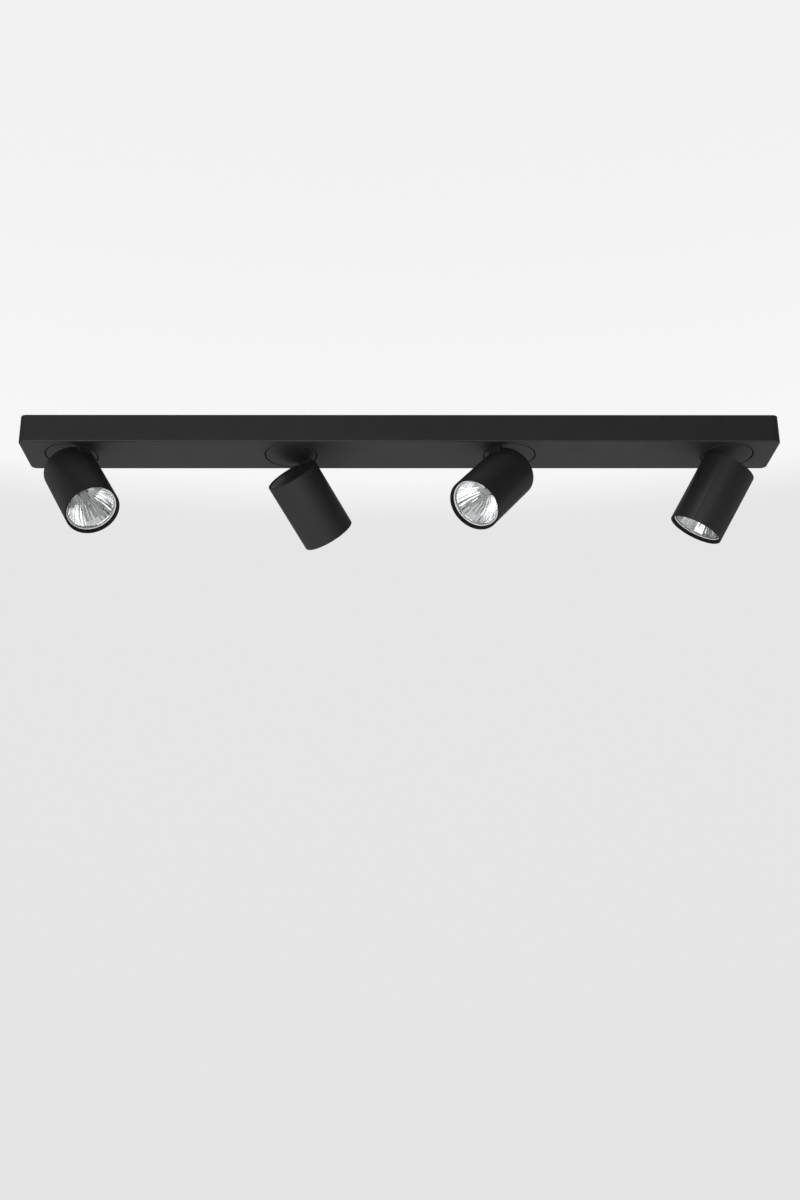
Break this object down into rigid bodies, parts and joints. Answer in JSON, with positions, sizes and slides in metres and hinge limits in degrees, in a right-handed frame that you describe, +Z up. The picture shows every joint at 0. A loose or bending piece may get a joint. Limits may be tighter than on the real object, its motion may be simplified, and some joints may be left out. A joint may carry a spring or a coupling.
{
  "type": "ceiling spotlight bar",
  "caption": "Long shallow black ceiling canopy with cylindrical spot heads that swivel on flush discs and tilt on edge hinges, each holding a reflector lamp.",
  "frame": {"origin": "centre of the canopy's ceiling face", "axes": "+Z up towards the ceiling, X along the bar, -Y its front"},
  "size_m": [0.76, 0.1272, 0.1212],
  "materials": {
    "black_coat": "matte black powder coat",
    "black_casting": "black painted zinc casting",
    "black_steel": "blackened steel",
    "zinc_plate": "bright zinc plating",
    "black_nylon": "moulded nylon",
    "white_nylon": "moulded nylon",
    "brass": "turned brass",
    "earth_insulation": "green and yellow wire insulation",
    "live_insulation": "brown wire insulation",
    "neutral_insulation": "blue wire insulation",
    "ceramic": "unglazed ceramic",
    "mirror_reflector": "vacuum-aluminised faceted glass",
    "clear_glass": "clear pressed glass",
    "quartz": "quartz capsule"
  },
  "bodies": {
    "canopy": {"canopy": "black_coat", "mounting_bracket": "zinc_plate", "canopy_screws": "black_steel", "entry_bush": "black_nylon", "terminal_block": "white_nylon", "terminal_clamps": "brass", "terminal_screws": "zinc_plate", "earth_screw": "zinc_plate", "earth_lead": "earth_insulation", "live_leads": "live_insulation", "neutral_leads": "neutral_insulation", "bearing_plates": "black_coat"},
    "swivel_1": {"swivel_disc_1": "black_coat", "hinge_arm_1": "black_casting", "hub_stem_1": "zinc_plate", "hub_fixings_1": "zinc_plate"},
    "head_1": {"head_tube_1": "black_coat", "top_cap_1": "black_casting", "pivot_pin_1": "black_steel", "lampholder_1": "ceramic", "holder_screws_1": "zinc_plate", "lamp_body_1": "mirror_reflector", "lamp_glass_1": "clear_glass", "lamp_burner_1": "quartz"},
    "swivel_2": {"swivel_disc_2": "black_coat", "hinge_arm_2": "black_casting", "hub_stem_2": "zinc_plate", "hub_fixings_2": "zinc_plate"},
    "head_2": {"head_tube_2": "black_coat", "top_cap_2": "black_casting", "pivot_pin_2": "black_steel", "lampholder_2": "ceramic", "holder_screws_2": "zinc_plate", "lamp_body_2": "mirror_reflector", "lamp_glass_2": "clear_glass", "lamp_burner_2": "quartz"},
    "swivel_3": {"swivel_disc_3": "black_coat", "hinge_arm_3": "black_casting", "hub_stem_3": "zinc_plate", "hub_fixings_3": "zinc_plate"},
    "head_3": {"head_tube_3": "black_coat", "top_cap_3": "black_casting", "pivot_pin_3": "black_steel", "lampholder_3": "ceramic", "holder_screws_3": "zinc_plate", "lamp_body_3": "mirror_reflector", "lamp_glass_3": "clear_glass", "lamp_burner_3": "quartz"},
    "swivel_4": {"swivel_disc_4": "black_coat", "hinge_arm_4": "black_casting", "hub_stem_4": "zinc_plate", "hub_fixings_4": "zinc_plate"},
    "head_4": {"head_tube_4": "black_coat", "top_cap_4": "black_casting", "pivot_pin_4": "black_steel", "lampholder_4": "ceramic", "holder_screws_4": "zinc_plate", "lamp_body_4": "mirror_reflector", "lamp_glass_4": "clear_glass", "lamp_burner_4": "quartz"}
  },
  "joints": [
    {"name": "pan_1", "type": "hinge", "parent": "canopy", "child": "swivel_1", "pos_m": [-0.3325, 0, -0.0295], "axis": [0, 0, 1], "range_deg": [-125.5, 214.5]},
    {"name": "tilt_1", "type": "hinge", "parent": "swivel_1", "child": "head_1", "pos_m": [-0.31766, -0.01458, -0.0389], "axis": [-0.7009, -0.7133, 0], "range_deg": [-38, 52]},
    {"name": "pan_2", "type": "hinge", "parent": "canopy", "child": "swivel_2", "pos_m": [-0.11083, 0, -0.0295], "axis": [0, 0, 1], "range_deg": [-220.5, 119.5]},
    {"name": "tilt_2", "type": "hinge", "parent": "swivel_2", "child": "head_2", "pos_m": [-0.0976, 0.01605, -0.0389], "axis": [0.7716, -0.6361, 0], "range_deg": [-50, 40]},
    {"name": "pan_3", "type": "hinge", "parent": "canopy", "child": "swivel_3", "pos_m": [0.11083, 0, -0.0295], "axis": [0, 0, 1], "range_deg": [-32.5, 307.5]},
    {"name": "tilt_3", "type": "hinge", "parent": "swivel_3", "child": "head_3", "pos_m": [0.0955, -0.01405, -0.0389], "axis": [-0.6756, 0.7373, 0], "range_deg": [-45, 45]},
    {"name": "pan_4", "type": "hinge", "parent": "canopy", "child": "swivel_4", "pos_m": [0.3325, 0, -0.0295], "axis": [0, 0, 1], "range_deg": [-333, 7]},
    {"name": "tilt_4", "type": "hinge", "parent": "swivel_4", "child": "head_4", "pos_m": [0.31261, 0.00608, -0.0389], "axis": [0.2924, 0.9563, 0], "range_deg": [-31, 59]}
  ]
}
